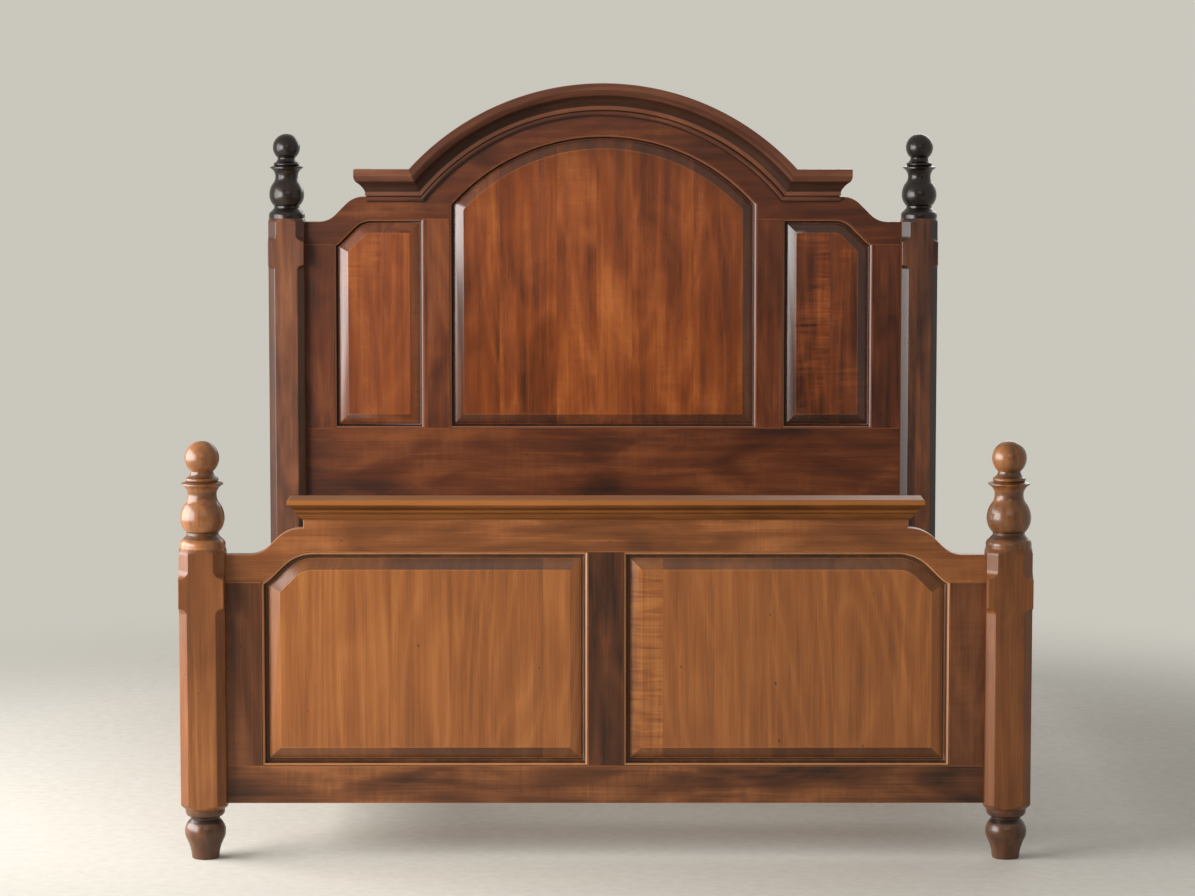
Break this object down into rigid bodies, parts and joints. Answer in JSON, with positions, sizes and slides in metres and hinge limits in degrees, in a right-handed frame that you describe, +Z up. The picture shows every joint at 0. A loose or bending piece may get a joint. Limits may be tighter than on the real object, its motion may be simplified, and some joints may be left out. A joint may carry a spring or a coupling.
{
  "type": "panel bed",
  "caption": "Panel bed with an arched and crowned headboard, a lower footboard, raised panels with scooped corners, chamfered posts with turned ball finials, side rails and slats.",
  "frame": {"origin": "on the floor under the middle of the footprint", "axes": "+Z up; +Y from the footboard to the headboard; +X to the right seen from the foot end"},
  "size_m": [1.708, 2.267, 1.554],
  "materials": {
    "honey_maple": "honey-brown stain under satin lacquer",
    "honey_panel": "honey-brown stain, boards of uneven tone, satin lacquer",
    "umber_maple": "dark umber stain under satin lacquer",
    "red_brown_maple": "dark red-brown stain under satin lacquer",
    "red_brown_panel": "red-brown stain, boards of uneven tone, satin lacquer",
    "dark_maple": "very dark brown stain under satin lacquer",
    "ebonised_maple": "near-black stain under gloss lacquer",
    "plain_poplar": "planed, unfinished",
    "dowel_birch": "turned, unfinished",
    "zinc_steel": "zinc plated",
    "screw_steel": "yellow zinc plated",
    "glide_plastic": "moulded black"
  },
  "bodies": {
    "bed": {"bead_arch": "red_brown_maple", "bead_ear_left": "red_brown_maple", "bead_ear_right": "red_brown_maple", "centre_leg_front": "plain_poplar", "centre_leg_middle": "plain_poplar", "centre_leg_rear": "plain_poplar", "cleat_screws": "screw_steel", "crown_arch": "red_brown_maple", "crown_ear_left": "red_brown_maple", "crown_ear_right": "red_brown_maple", "finial_dowels": "dowel_birch", "foot_dowels": "dowel_birch", "footboard_bottom_rail": "honey_maple", "footboard_cap": "honey_maple", "footboard_cap_bead": "honey_maple", "footboard_finial_left": "honey_maple", "footboard_finial_right": "honey_maple", "footboard_foot_left": "umber_maple", "footboard_foot_right": "umber_maple", "footboard_moulding_left": "honey_maple", "footboard_moulding_right": "honey_maple", "footboard_mullion": "umber_maple", "footboard_panel_left": "honey_panel", "footboard_panel_right": "honey_panel", "footboard_post_left": "honey_maple", "footboard_post_right": "honey_maple", "footboard_stile_left": "umber_maple", "footboard_stile_right": "umber_maple", "footboard_top_rail": "honey_maple", "headboard_bottom_rail": "red_brown_maple", "headboard_centre_moulding": "red_brown_maple", "headboard_centre_panel": "red_brown_panel", "headboard_finial_left": "ebonised_maple", "headboard_finial_right": "ebonised_maple", "headboard_foot_left": "dark_maple", "headboard_foot_right": "dark_maple", "headboard_mullion_left": "red_brown_maple", "headboard_mullion_right": "red_brown_maple", "headboard_post_left": "dark_maple", "headboard_post_right": "dark_maple", "headboard_side_moulding_left": "red_brown_maple", "headboard_side_moulding_right": "red_brown_maple", "headboard_side_panel_left": "red_brown_panel", "headboard_side_panel_right": "red_brown_panel", "headboard_stile_left": "dark_maple", "headboard_stile_right": "dark_maple", "headboard_top_rail": "red_brown_maple", "hook_receivers": "zinc_steel", "rail_hook_plates": "zinc_steel", "side_rail_left": "honey_maple", "side_rail_right": "honey_maple", "slat_cleat_left": "plain_poplar", "slat_cleat_right": "plain_poplar", "slat_screws": "screw_steel", "slats": "plain_poplar", "threaded_inserts": "zinc_steel"},
    "glide_front": {"levelling_glide_front": "glide_plastic"},
    "glide_middle": {"levelling_glide_middle": "glide_plastic"},
    "glide_rear": {"levelling_glide_rear": "glide_plastic"}
  },
  "joints": [
    {"name": "glide_front_screw", "type": "slide", "parent": "bed", "child": "glide_front", "axis": [0, 0, -1], "range_m": [0, 0.015]},
    {"name": "glide_middle_screw", "type": "slide", "parent": "bed", "child": "glide_middle", "axis": [0, 0, -1], "range_m": [0, 0.015]},
    {"name": "glide_rear_screw", "type": "slide", "parent": "bed", "child": "glide_rear", "axis": [0, 0, -1], "range_m": [0, 0.015]}
  ]
}
